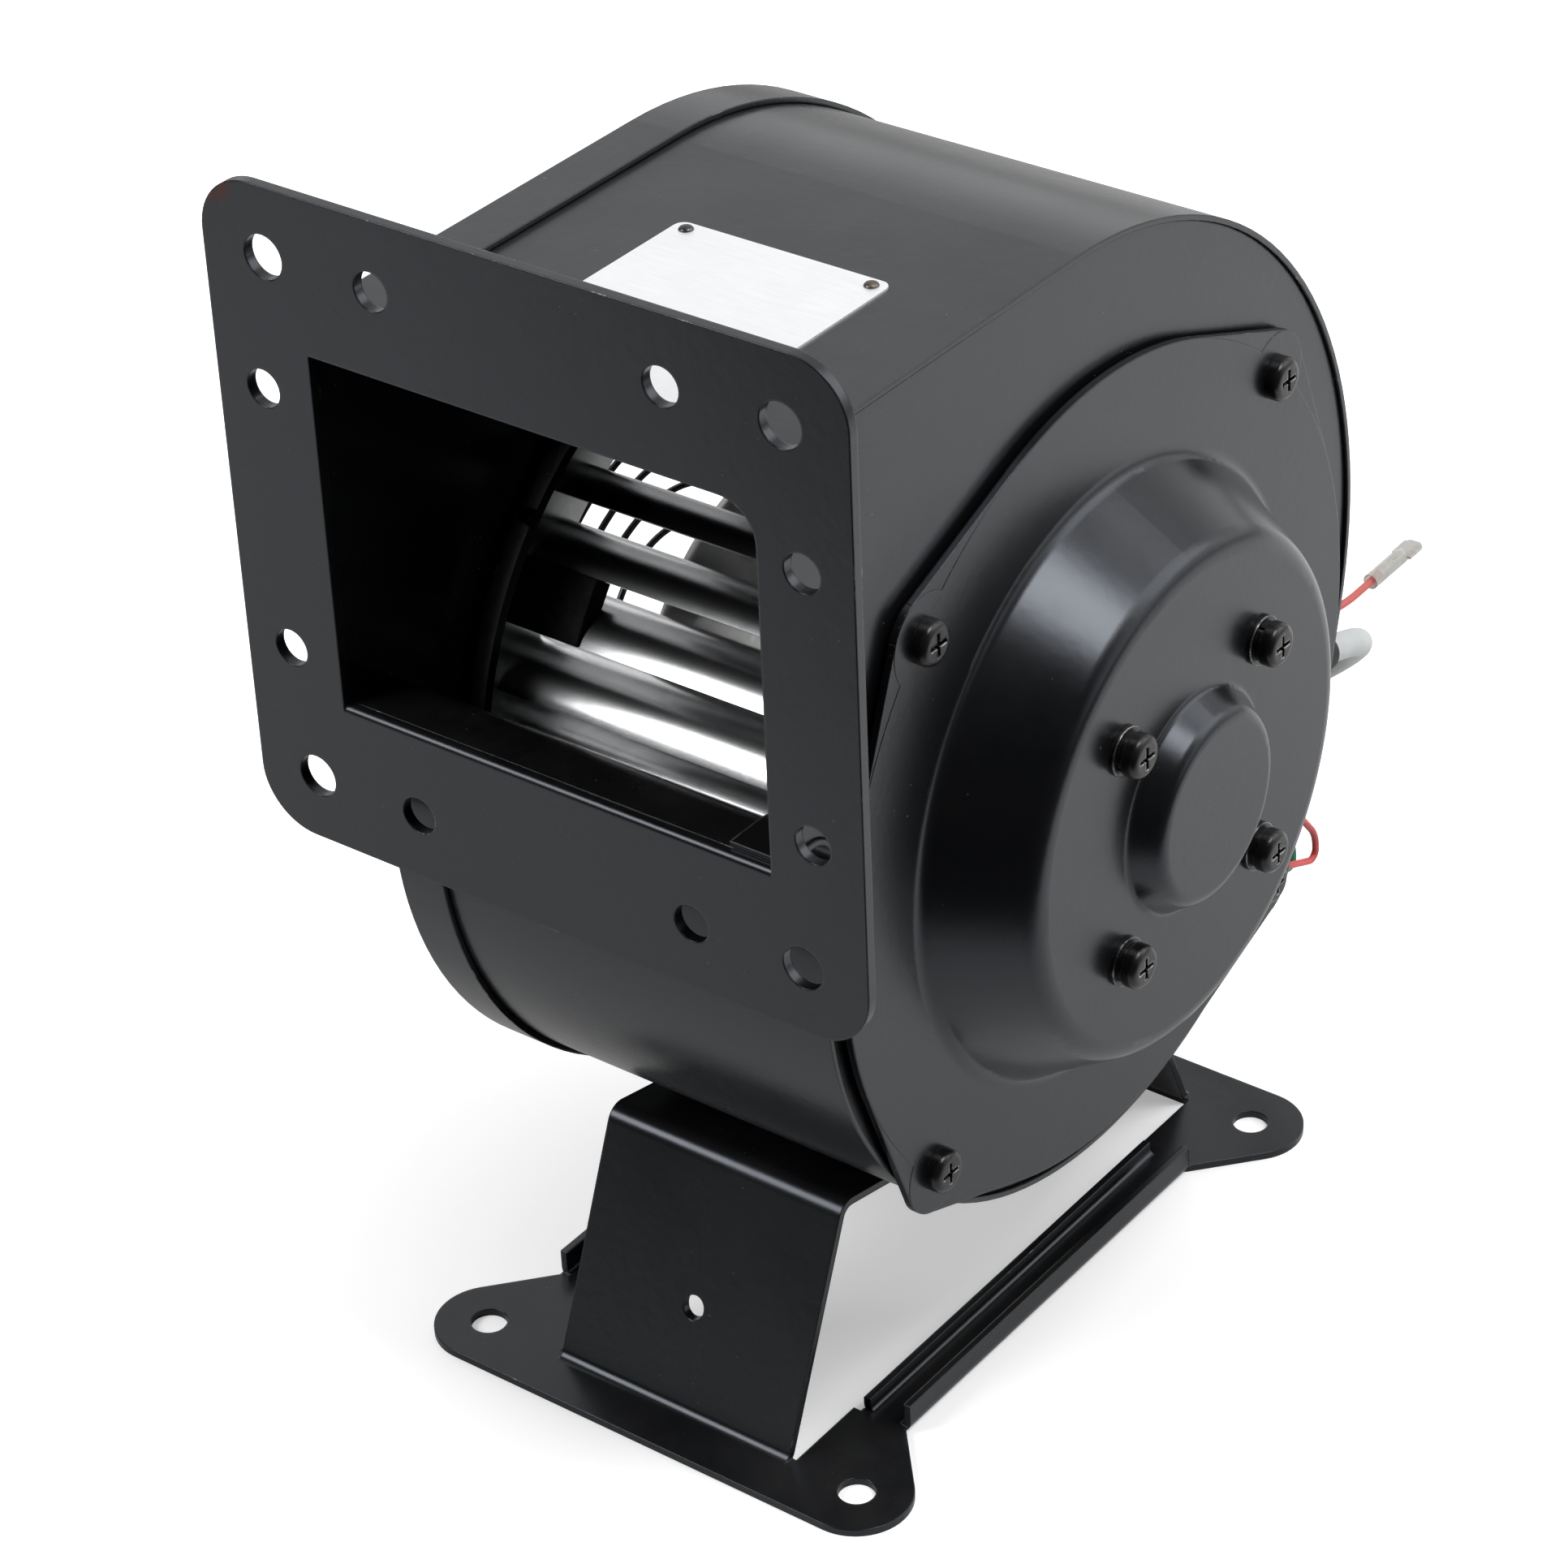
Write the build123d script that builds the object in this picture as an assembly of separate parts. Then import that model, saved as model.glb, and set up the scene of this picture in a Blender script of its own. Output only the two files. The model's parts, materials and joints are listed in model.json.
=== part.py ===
from build123d import *
import math
import os

# Centrifugal draft fan on a pressed steel foot. Millimetres, +Z up.
# The origin is the centre of the four foot holes, on the floor. The shaft lies along X,
# the outlet faces -Y, the motor is on the +X side and the air inlet on the -X side.

# Running axis
shaft_y = 4.3
shaft_r = 4.0

# Scroll casing, of thin sheet; its lowest point is belly_z above the floor
sheet = 1.0
seam = 0.15
belly_z = 39.2
scroll_r = 81.5
crown_growth = 8.5
crown_back = -5.8
crown_rise = 12.4
duct_height = 73.6
tongue_r = 5.0
outlet_y = -87.0
cover_x = -44.3
casing_near_x = 48.7
side_plate_inset = 0.7
side_rim = 10.0
cover_lip = 10.0
opening_overlap = 10.0

# Outlet flange
flange_mid_x = 1.4
flange_drop = 2.8
flange_width = 130.0
flange_height = 125.0
flange_t = 2.0
flange_corner_r = 11.0
corner_inset_x = 13.0
corner_inset_z = 12.8
corner_hole_r = 4.0
edge_hole_step = 22.8
side_inset = 10.0
side_hole_step = 24.8
edge_hole_r = 3.5
outlet_far_margin = 1.5
outlet_near_margin = 0.3
outlet_top_margin = 4.7
outlet_corner_r = 7.0
outlet_lip_r = 1.2

# Inlet, bell mouth and guard
mouth_inset = 2.0
mouth_bend_r = 2.5
mouth_lip = 0.6
mouth_t = 0.8
mouth_flange_width = 9.5
guard_wire_r = 0.65
guard_weld_gap = 0.05
guard_fix_step = 5.5
guard_pitch = 7.45
guard_first_r = 18.1
guard_rings = 6
guard_spokes = 4
guard_eye_r = 3.6
guard_eye_t = 1.6
guard_screw_r = 1.5
guard_head_r = 2.8
guard_head_h = 1.8
guard_screw_spare = 1.0

# Impeller
blade_count = 33
wheel_clear = 4.0
blade_depth = 10.0
blade_t = 0.6
blade_turn = 92.0
blade_phase = 130.2
blades_far_x = -36.8
blades_near_x = 38.0
ring_depth = 1.6
ring_overhang = 0.8
disc_t = 1.0
disc_collar = 4.0
hub_fit = 0.1
weight_depth = 3.5
weight_length = 15.6
weight_gap = 1

# Motor: outer rotor round a fixed stator
rotor_clear = 4.5
rotor_t = 1.0
rotor_far_x = -23.0
rotor_near_x = 45.0
rotor_bend_r = 4.0
rotor_bore_play = 0.02
rotor_hub_r = 9.0
rotor_hub_depth = 6.0
core_far_x = -8.0
core_near_x = 38.0
rotor_core_t = 6.0
air_gap = 0.5
slot_count = 12
slot_r = 3.6
slot_mouth = 2.0
winding_depth = 7.0
slot_setback = 2.2
tube_r = 14.0
tube_gap = 1.0
tube_stop = 2.0
bracket_r = 37.0
bracket_t = 5.0
bearing_r = 11.0
bearing_width = 7.0
bearing_fit = 0.03
bearing_back = 6.0
bearing_groove = 0.5
bearing_inner_wall = 1.6
bearing_outer_wall = 2.0
shaft_overhang = 0.6
shaft_end_gap = 1.0
shaft_chamfer = 0.5
clip_t = 0.8
clip_r = 6.2
clip_depth = 0.5
clip_gap = 0.3

# Motor mounting plate with its pressed cup
plate_t = 1.5
plate_gap = 1.0
plate_inset = 3.5
plate_ear_r = 8.6
plate_fix_inset = 2.0
cup_inset = 10.4
cup_taper = 10.1
cup_base_bend_r = 3.7
cup_rim_bend_r = 4.2
cup_depth = 17.5
boss_base_r = 21.0
boss_top_r = 17.5
boss_height = 5.5
boss_bend_r = 2.2
pad_r = 4.2

# Fasteners
fixings = 4
fixing_angle = 45.0
motor_screw_circle_r = 30.5
screw_spare = 3.0
motor_screw_spare = 1.0
m4_r = 2.0
m4_clear_r = 2.2
m4_head_r = 4.1
m4_head_h = 2.8
head_round_share = 0.5
cross_length_share = 1.1
cross_width_share = 0.22
washer_r = 4.6
washer_t = 0.8
spring_washer_r = 3.7
spring_washer_t = 1.1
spring_split = 0.6
spring_split_turn = 70.0
fit_gap = 0.1
rivet_r = 0.8
rivet_head_r = 1.35
rivet_head_h = 0.7
rivet_round_share = 0.7

# Pressed steel foot
base_t = 1.5
foot_hole_x = 86.0
foot_hole_y = 133.0
foot_hole_r = 3.5
ear_r = 10.5
ear_length = 19.5
waist_r = 2.0
foot_side_x = 41.0
leg_width = 53.0
leg_slot = 1.0
fold_inset = 0.2
leg_shoulder = 8.3
leg_front_clear = 7.1
leg_back_clear = 2.45
leg_bend_r = 3.0
leg_hole_z = 20.0
leg_hole_r = 2.25
rail_width = 10.5
rail_overlap = 3.0
rail_lip = 4.0
rail_flange = 6.5
rail_bend_r = 1.9

# Rating plate, left bare
plate_mid_x = 7.7
plate_mid_y = -40.0
rating_width = 43.5
rating_depth = 26.5
rating_t = 0.4
rating_corner_r = 2.0
rating_rivet_x = 38.0
rating_rivet_y = 22.0

# Run capacitor under the back of the casing
capacitor_slope = 19.4
capacitor_near_x = 41.5
capacitor_width = 12.5
capacitor_length = 36.0
capacitor_t = 10.0
capacitor_start = 10.0
capacitor_edge_r = 1.0
carrier_t = 1.0
carrier_width = 11.0
carrier_lead_in = 3.0
carrier_set_back = 5.0

# Supply cable and its gland
cable_r = 2.75
gland_x = 40.8
gland_z = 99.0
gland_neck_r = 5.0
gland_lip = 1.0
gland_play = 0.5
gland_flange_r = 6.8
gland_flange_t = 1.6
gland_tail = 11.0
gland_inside = 10.0
gland_tail_r = 3.6
gland_shoulder_r = 4.6
first_run = 15.0
bend_share = 0.45
cable_route = [
    (33.0, 119.0, 81.0),
    (18.0, 125.0, 66.5),
    (-4.0, 132.0, 48.0),
    (-27.0, 145.0, 28.0),
    (-45.0, 163.0, 11.0),
    (-54.0, 187.0, 3.2),
    (-54.0, 213.0, 2.85),
    (-48.0, 238.0, 2.85),
]

# Stripped ends of the cable's three cores, each with a crimped tab
core_r = 0.9
core_spread_r = 1.4
core_start = 10.0
core_first_angle = 90.0
core_ends = [(-63.0, 262.0, 2.4), (-44.6, 262.0, 2.4), (-73.0, 253.0, 2.4)]
sleeve_r = 1.9
sleeve_length = 14.0
sleeve_grip = 3.0
crimp_r = 1.5
tab_width = 5.0
tab_t = 0.8
tab_length = 7.0
tab_chamfer = 1.25

# Thin leads from the capacitor into the casing
thin_r = 0.7
thin_gap = 2.6
thin_entry_share = 0.7
bush_x = 39.6
bush_z = 78.0
bush_neck_r = 3.2
bush_flange_r = 4.4
bush_flange_t = 1.2
thin_start = 3.0
thin_loops = [
    [(82.5, 51.0), (88.4, 48.0), (88.0, 54.0), (79.6, 66.0)],
    [(83.5, 52.6), (92.6, 48.8), (92.2, 55.0), (81.0, 68.5)],
]

# Values worked out from the sizes above
shaft_z = belly_z + scroll_r
crown_r = scroll_r + crown_growth
shaft_line = Axis((0, shaft_y, shaft_z), (1, 0, 0))
# Plane through the shaft: its own x runs along the shaft and its own y is the radius
meridian = Plane(origin=(0, shaft_y, shaft_z), x_dir=(1, 0, 0), z_dir=(0, -1, 0))
crown_y = shaft_y + crown_back
crown_z = shaft_z + crown_rise
casing_top_z = crown_z + crown_r
duct_floor_z = casing_top_z - duct_height
casing_far_x = cover_x + sheet + seam
side_plate_x = casing_near_x - side_plate_inset
flange_mid_z = casing_top_z - duct_height / 2 - flange_drop
corner_hole_x = flange_width - 2 * corner_inset_x
corner_hole_z = flange_height - 2 * corner_inset_z
plate_r = scroll_r - plate_inset
plate_fix_r = plate_r - plate_fix_inset
motor_opening_r = plate_r - opening_overlap
cup_base_r = motor_opening_r - cup_inset
cup_rim_r = cup_base_r - cup_taper
rotor_r = cup_rim_r - rotor_clear
blade_tip_r = motor_opening_r - wheel_clear
blade_root_r = blade_tip_r - blade_depth
mouth_r = blade_root_r - mouth_inset
inlet_r = mouth_r + mouth_bend_r
mouth_flange_r = inlet_r + mouth_flange_width
guard_fix_r = inlet_r + guard_fix_step
tube_far_x = rotor_far_x + rotor_hub_depth + tube_gap
mount_x = side_plate_x + plate_gap
plate_face_x = mount_x + plate_t
cup_face_x = plate_face_x + cup_depth
cup_inside_x = cup_face_x - plate_t
bracket_far_x = cup_inside_x - bracket_t
foot_hole_half_x = foot_hole_x / 2
foot_hole_half_y = foot_hole_y / 2
foot_side_y = foot_hole_half_y - ear_length
rail_inner_x = foot_side_x - rail_width
leg_fold_y = foot_hole_half_y - fold_inset
leg_bend_z = belly_z + leg_shoulder


def across(x, y=shaft_y, z=shaft_z):
    """Plane square to the shaft, its own x along Y and its own y along Z"""
    return Plane(origin=(x, y, z), x_dir=(0, 1, 0), z_dir=(1, 0, 0))


def tube(far_x, near_x, inner_r, outer_r):
    """Ring or sleeve about the shaft"""
    face = Circle(outer_r)
    if inner_r > 0:
        face -= Circle(inner_r)
    return extrude(across(far_x) * face, near_x - far_x)


def arc(center, radius, start, end):
    """Arc from one angle to the other, in degrees"""
    return CenterArc(center, radius, start, end - start)


def turned_sheet(corners, radii, thickness):
    """Sheet pressed to a bent profile of (x, radius) corners, turned about the shaft"""
    profile = trace(FilletPolyline(*corners, radius=radii), thickness)
    return revolve(meridian * profile, shaft_line)


def beside(corners, by):
    """Corners of a bent line moved to its left, each bend kept sharp"""
    legs = [(Vector(*b) - Vector(*a)).normalized() for a, b in zip(corners, corners[1:])]
    normals = [Vector(-leg.Y, leg.X) for leg in legs]
    before = [normals[0]] + normals
    after = normals + [normals[-1]]
    moved = []
    for corner, one, two in zip(corners, before, after):
        shift = (one + two) * (by / (1 + one.dot(two)))
        moved.append((corner[0] + shift.X, corner[1] + shift.Y))
    return moved


def round_about(radius, count, first=0.0):
    """Places on a circle about the shaft, as (y, z) offsets with their angle"""
    for k in range(count):
        angle = first + 360 * k / count
        turn = math.radians(angle)
        yield radius * math.cos(turn), radius * math.sin(turn), angle


def fixing_places(radius):
    """Places of the four fixings on a circle about the shaft"""
    return round_about(radius, fixings, fixing_angle)


def pan_screw(x, y, z, length, radius=m4_r, head_r=m4_head_r, head_h=m4_head_h, facing=1):
    """Pan head screw with a cross recess; its head stands on the plane x"""
    plane = Plane(origin=(x, y, z), x_dir=(0, 1, 0), z_dir=(facing, 0, 0))
    head = extrude(Circle(head_r), head_h)
    head = fillet(head.edges().group_by(Axis.Z)[-1], head_round_share * head_h)
    shank = extrude(Circle(radius), -length)
    cross_length = cross_length_share * head_r
    cross_width = cross_width_share * head_r
    cross = Box(cross_length, cross_width, head_h) + Box(cross_width, cross_length, head_h)
    return plane * (head + shank - Pos(0, 0, head_h) * cross)


def washer(far_x, y, z, thickness, outer_r):
    """Washer on an M4 screw"""
    face = Circle(outer_r) - Circle(m4_r + fit_gap)
    return extrude(across(far_x, y, z) * face, thickness)


# Casing
def back_tangent(low_r, high_r):
    """Angle of the common tangent's normal at the back of the scroll"""
    lean = math.atan2(crown_rise, crown_back)
    spread = math.acos((low_r - high_r) / math.hypot(crown_rise, crown_back))
    return lean - spread


def scroll_outline(grow):
    """Casing outline seen along the shaft, moved outward by grow; its front stays put"""
    low_r = scroll_r + grow
    high_r = crown_r + grow
    back = math.degrees(back_tangent(low_r, high_r))
    normal = Vector(1, 0).rotate(Axis.Z, back)
    low = Vector(shaft_y, shaft_z)
    high = Vector(crown_y, crown_z)
    tongue_z = duct_floor_z - tongue_r
    reach = scroll_r + tongue_r
    tongue_y = shaft_y - math.sqrt(reach**2 - (tongue_z - shaft_z) ** 2)
    toward = math.degrees(math.atan2(shaft_z - tongue_z, shaft_y - tongue_y))
    top_z = casing_top_z + grow
    floor_z = duct_floor_z - grow
    return make_face(
        [
            arc(high, high_r, back, 90),
            Line((crown_y, top_z), (outlet_y, top_z)),
            Line((outlet_y, top_z), (outlet_y, floor_z)),
            Line((outlet_y, floor_z), (tongue_y, floor_z)),
            arc((tongue_y, tongue_z), tongue_r - grow, 90, toward),
            arc(low, low_r, toward + 180, back + 360),
            Line(low + normal * low_r, high + normal * high_r),
        ]
    )


def casing_slab(far_x, near_x, grow):
    """Solid of the casing outline between two planes"""
    return extrude(Plane.YZ.offset(far_x) * scroll_outline(grow), near_x - far_x)


def casing_band(far_x, near_x, grow):
    """Sheet that follows the casing outline, open at the outlet"""
    return casing_slab(far_x, near_x, grow) - casing_slab(far_x, near_x, grow - sheet)


def back_wall(x, z):
    """Point of the back wall's outside at a height, and its outward direction"""
    angle = back_tangent(scroll_r, crown_r)
    rise = z - shaft_z
    if rise < scroll_r * math.sin(angle):
        angle = math.asin(rise / scroll_r)
    out = Vector(0, math.cos(angle), math.sin(angle))
    return Vector(x, shaft_y + (scroll_r - rise * out.Z) / out.Y, z), out


def wall_hole(x, z, radius):
    """Cylinder square through the back wall"""
    point, out = back_wall(x, z)
    depth = 4 * sheet
    return extrude(Plane(origin=point - out * depth, z_dir=out) * Circle(radius), 2 * depth)


def scroll_wrapper():
    body = casing_band(casing_far_x, casing_near_x, 0)
    body -= wall_hole(gland_x, gland_z, gland_neck_r + fit_gap)
    return body - wall_hole(bush_x, bush_z, bush_neck_r + fit_gap)


def inlet_side_cover():
    plate = casing_slab(cover_x, cover_x + sheet, seam + sheet)
    lip = casing_band(cover_x, cover_x + cover_lip, seam + sheet)
    body = plate + lip - tube(cover_x, cover_x + sheet, 0, inlet_r)
    for y, z, _ in round_about(guard_fix_r, guard_spokes, fixing_angle):
        hole = across(cover_x, shaft_y + y, shaft_z + z) * Circle(guard_screw_r + fit_gap)
        body -= extrude(hole, sheet)
    return body


def motor_side_plate():
    inside = -sheet - seam
    plate = casing_slab(side_plate_x - sheet, side_plate_x, inside)
    rim = casing_band(side_plate_x - side_rim, side_plate_x, inside)
    body = plate + rim - tube(side_plate_x - sheet, side_plate_x, 0, motor_opening_r)
    for y, z, _ in fixing_places(plate_fix_r):
        body += extrude(across(side_plate_x, shaft_y + y, shaft_z + z) * Circle(pad_r), plate_gap)
    for y, z, _ in fixing_places(plate_fix_r):
        hole = across(side_plate_x - sheet, shaft_y + y, shaft_z + z) * Circle(m4_r + fit_gap)
        body -= extrude(hole, sheet + plate_gap)
    body -= wall_hole(gland_x, gland_z, gland_neck_r + fit_gap)
    return body - wall_hole(bush_x, bush_z, bush_neck_r + fit_gap)


def flange_holes():
    """Groups of flange holes as (spacing across, spacing up, radius)"""
    return [
        (corner_hole_x, corner_hole_z, corner_hole_r),
        (corner_hole_x - 2 * edge_hole_step, corner_hole_z, edge_hole_r),
        (flange_width - 2 * side_inset, corner_hole_z - 2 * side_hole_step, edge_hole_r),
    ]


def outlet_flange():
    middle = Plane(origin=(flange_mid_x, outlet_y, flange_mid_z), x_dir=(1, 0, 0), z_dir=(0, -1, 0))
    face = RectangleRounded(flange_width, flange_height, flange_corner_r)
    for across_x, up_z, radius in flange_holes():
        for place in GridLocations(across_x, up_z, 2, 2):
            face -= place * Circle(radius)
    left = cover_x + outlet_far_margin
    right = side_plate_x - outlet_near_margin
    top = casing_top_z - sheet - outlet_top_margin
    bottom = duct_floor_z + sheet
    opening = Rectangle(right - left, top - bottom)
    opening = fillet(opening.vertices().group_by(Axis.X)[-1].sort_by(Axis.Y)[-1], outlet_corner_r)
    shift = Pos((left + right) / 2 - flange_mid_x, (top + bottom) / 2 - flange_mid_z)
    body = extrude(middle * (face - shift * opening), flange_t)
    lip = body.edges().group_by(Axis.Y)[0].filter_by(Axis.X)
    lip = lip.filter_by_position(Axis.Z, bottom - fit_gap, bottom + fit_gap)
    return fillet(lip, outlet_lip_r)


# Inlet
def inlet_bell_mouth():
    flange_x = cover_x + sheet + seam + mouth_t / 2
    corners = [
        (flange_x, mouth_flange_r),
        (flange_x, mouth_r),
        (flange_x + mouth_bend_r + mouth_lip, mouth_r),
    ]
    body = turned_sheet(corners, mouth_bend_r, mouth_t)
    for y, z, _ in round_about(guard_fix_r, guard_spokes, fixing_angle):
        hole = across(flange_x - mouth_t, shaft_y + y, shaft_z + z) * Circle(guard_screw_r + fit_gap)
        body -= extrude(hole, 2 * mouth_t)
    return body


def wire_ring(x, radius):
    """Closed ring of guard wire about the shaft line"""
    return revolve(meridian * Pos(x, radius) * Circle(guard_wire_r), shaft_line)


def inlet_guard():
    """Guard of welded wire: rings outside, and spokes under them that end in screw eyes"""
    spoke_x = cover_x - guard_eye_t / 2 - fit_gap
    ring_x = spoke_x - 2 * guard_wire_r - guard_weld_gap
    wires = [wire_ring(ring_x, guard_first_r + k * guard_pitch) for k in range(guard_rings)]
    start = guard_first_r - guard_wire_r
    length = guard_fix_r - guard_screw_r - 2 * fit_gap - start
    eye = Circle(guard_eye_r) - Circle(guard_screw_r + fit_gap)
    for y, z, _ in round_about(guard_fix_r, guard_spokes, fixing_angle):
        out = Vector(0, y, z).normalized()
        origin = Vector(spoke_x, shaft_y, shaft_z) + out * start
        spoke = extrude(Plane(origin=origin, z_dir=out) * Circle(guard_wire_r), length)
        eye_plane = across(spoke_x - guard_eye_t / 2, shaft_y + y, shaft_z + z)
        wires.append(spoke + extrude(eye_plane * eye, guard_eye_t))
    return wires


def guard_screws():
    head_x = cover_x - guard_eye_t - 2 * fit_gap
    length = cover_x + sheet + seam + mouth_t + guard_screw_spare - head_x
    size = (length, guard_screw_r, guard_head_r, guard_head_h)
    return [
        pan_screw(head_x, shaft_y + y, shaft_z + z, *size, facing=-1)
        for y, z, _ in round_about(guard_fix_r, guard_spokes, fixing_angle)
    ]


# Impeller
def blade_line():
    """Blade's middle line: it leaves the inner circle radially and curls forward"""
    turn = math.radians(blade_turn)
    sine = math.sin(turn)
    chord = 2 - 2 * math.cos(turn)
    span = blade_tip_r**2 - blade_root_r**2
    radius = (math.sqrt((blade_root_r * sine) ** 2 + span * chord) - blade_root_r * sine) / chord
    tip = math.degrees(math.atan2(radius * chord / 2, blade_root_r + radius * sine))
    return CenterArc((blade_root_r, radius), radius, -90, blade_turn), tip


def blade_face(thickness):
    line, tip = blade_line()
    return Rot(0, 0, blade_phase - tip) * trace(line, thickness)


def impeller_blades():
    blade = extrude(across(blades_far_x) * blade_face(blade_t), blades_near_x - blades_far_x)
    return [blade.rotate(shaft_line, 360 * k / blade_count) for k in range(blade_count)]


def impeller_inlet_ring():
    outer_r = blade_tip_r + ring_overhang
    web = tube(blades_far_x - disc_t, blades_far_x, blade_root_r, outer_r)
    rim = tube(blades_far_x - ring_depth, blades_far_x, outer_r - disc_t, outer_r)
    lip = tube(blades_far_x - ring_depth, blades_far_x, blade_root_r, blade_root_r + disc_t)
    return web + rim + lip


def impeller_back_disc():
    web = tube(blades_near_x, blades_near_x + disc_t, rotor_r + hub_fit, blade_tip_r + ring_overhang)
    collar = tube(
        blades_near_x, blades_near_x + disc_collar, rotor_r + hub_fit, rotor_r + hub_fit + disc_t
    )
    return web + collar


def balance_clip():
    """Weight clipped between the outer edges of two neighbouring blades, beside the inlet ring"""
    pitch = 360 / blade_count
    outer_r = blade_tip_r + ring_overhang
    first = math.radians(blade_phase + weight_gap * pitch)
    last = first + math.radians(pitch)
    reach = 2 * outer_r
    corners = [(0, 0)] + [(reach * math.cos(turn), reach * math.sin(turn)) for turn in (first, last)]
    wedge = make_face(Polyline(*corners, close=True))
    face = (Circle(outer_r) - Circle(blade_tip_r - weight_depth)) & wedge
    for k in range(weight_gap, weight_gap + 2):
        face -= Rot(0, 0, k * pitch) * blade_face(blade_t + 2 * fit_gap)
    pieces = sorted(face.faces(), key=lambda piece: piece.area)
    return extrude(across(blades_far_x + fit_gap) * pieces[-1], weight_length)


# Motor
def rotor_shell():
    middle_r = rotor_r - rotor_t / 2
    corners = [
        (rotor_far_x + rotor_t / 2, shaft_r + rotor_bore_play),
        (rotor_far_x + rotor_t / 2, middle_r),
        (rotor_near_x, middle_r),
    ]
    shell = turned_sheet(corners, rotor_bend_r, rotor_t)
    hub = tube(rotor_far_x, rotor_far_x + rotor_hub_depth, shaft_r + rotor_bore_play, rotor_hub_r)
    return shell + hub


def rotor_core():
    outer_r = rotor_r - rotor_t - hub_fit
    return tube(core_far_x, core_near_x, outer_r - rotor_core_t, outer_r)


def stator_outer_r():
    return rotor_r - rotor_t - hub_fit - rotor_core_t - air_gap


def well_circle_r():
    return stator_outer_r() - slot_setback * slot_r


def slot_face(radius, mouth):
    """Winding slots of the stator: a round well on each, open to the rim"""
    slots = None
    for y, z, angle in round_about(well_circle_r(), slot_count):
        slot = Pos(y, z) * Circle(radius)
        if mouth > 0:
            reach = slot_setback * slot_r + air_gap
            slot += Rot(0, 0, angle) * Pos(well_circle_r() + reach / 2, 0) * Rectangle(reach, mouth)
        slots = slot if slots is None else slots + slot
    return slots


def stator_core():
    face = Circle(stator_outer_r()) - Circle(tube_r + fit_gap) - slot_face(slot_r, slot_mouth)
    return extrude(across(core_far_x) * face, core_near_x - core_far_x)


def stator_windings():
    """Coils in the slots, joined by an end turn ring at each end of the core"""
    wires = extrude(
        across(core_far_x - fit_gap) * slot_face(slot_r - fit_gap, 0),
        core_near_x - core_far_x + 2 * fit_gap,
    )
    ends = [
        (core_far_x - fit_gap - winding_depth, core_far_x - fit_gap),
        (core_near_x + fit_gap, core_near_x + fit_gap + winding_depth),
    ]
    for far_x, near_x in ends:
        wires += tube(far_x, near_x, well_circle_r() - slot_r, well_circle_r() + slot_r)
    return wires


def stator_bracket():
    """Flange bolted inside the cup, with the tube that carries bearings and stator"""
    flange = tube(bracket_far_x, cup_inside_x, bearing_r, bracket_r)
    sleeve = tube(tube_far_x, cup_inside_x, bearing_r, tube_r)
    stop_x = tube_far_x + bearing_width
    stop = tube(stop_x, stop_x + tube_stop, bearing_r - tube_stop, tube_r)
    body = flange + sleeve + stop
    for y, z, _ in fixing_places(motor_screw_circle_r):
        hole = across(bracket_far_x, shaft_y + y, shaft_z + z) * Circle(m4_r + fit_gap / 2)
        body -= extrude(hole, bracket_t)
    return body


def bearing(far_x):
    inner = shaft_r + bearing_fit
    ring = tube(far_x, far_x + bearing_width, inner, bearing_r - bearing_fit)
    groove_in = inner + bearing_inner_wall
    groove_out = bearing_r - bearing_outer_wall
    for side_x in (far_x, far_x + bearing_width - bearing_groove):
        ring -= tube(side_x, side_x + bearing_groove, groove_in, groove_out)
    return ring


def near_bearing_x():
    return cup_inside_x - bearing_width - bearing_back


def clip_x():
    return near_bearing_x() + bearing_width + clip_gap


def shaft():
    """Shaft pressed into the rotor, with a groove for its retaining ring"""
    body = tube(rotor_far_x - shaft_overhang, cup_inside_x - shaft_end_gap, 0, shaft_r)
    groove = tube(clip_x(), clip_x() + clip_t, shaft_r - clip_depth, clip_r)
    return chamfer((body - groove).edges().group_by(Axis.X)[-1], shaft_chamfer)


def retaining_ring():
    face = Circle(clip_r) - Circle(shaft_r - clip_depth + fit_gap / 2)
    mouth = Pos(0, -clip_r) * Rectangle(shaft_r, 2 * clip_r)
    body = across(clip_x() + fit_gap) * (face - mouth)
    return extrude(body, clip_t - 2 * fit_gap)


def motor_mount_plate():
    """Flat plate with four screw ears and a cup pressed out of its middle"""
    ears = [Pos(y, z) * Circle(plate_ear_r) for y, z, _ in fixing_places(plate_fix_r)]
    outline = Circle(plate_r)
    for ear in ears:
        outline += ear
    pressed_r = cup_base_r + 2 * cup_base_bend_r
    body = extrude(across(mount_x) * (outline - Circle(pressed_r - fit_gap)), plate_t)
    corners = [
        (plate_face_x, pressed_r),
        (plate_face_x, cup_base_r),
        (cup_face_x, cup_rim_r),
        (cup_face_x, boss_base_r),
        (cup_face_x + boss_height, boss_top_r),
        (cup_face_x + boss_height, 0),
    ]
    middle = beside(corners, -plate_t / 2)
    body += turned_sheet(middle, [cup_base_bend_r, cup_rim_bend_r, boss_bend_r, boss_bend_r], plate_t)
    for y, z, _ in fixing_places(plate_fix_r):
        body -= extrude(across(mount_x, shaft_y + y, shaft_z + z) * Circle(m4_clear_r), plate_t)
    for y, z, _ in fixing_places(motor_screw_circle_r):
        hole = across(cup_inside_x, shaft_y + y, shaft_z + z) * Circle(m4_clear_r)
        body -= extrude(hole, plate_t)
    return body


def mount_plate_screws():
    length = plate_t + plate_gap + sheet + screw_spare
    return [
        pan_screw(plate_face_x, shaft_y + y, shaft_z + z, length)
        for y, z, _ in fixing_places(plate_fix_r)
    ]


def motor_flat_washers():
    return [
        washer(cup_face_x, shaft_y + y, shaft_z + z, washer_t, washer_r)
        for y, z, _ in fixing_places(motor_screw_circle_r)
    ]


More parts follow.
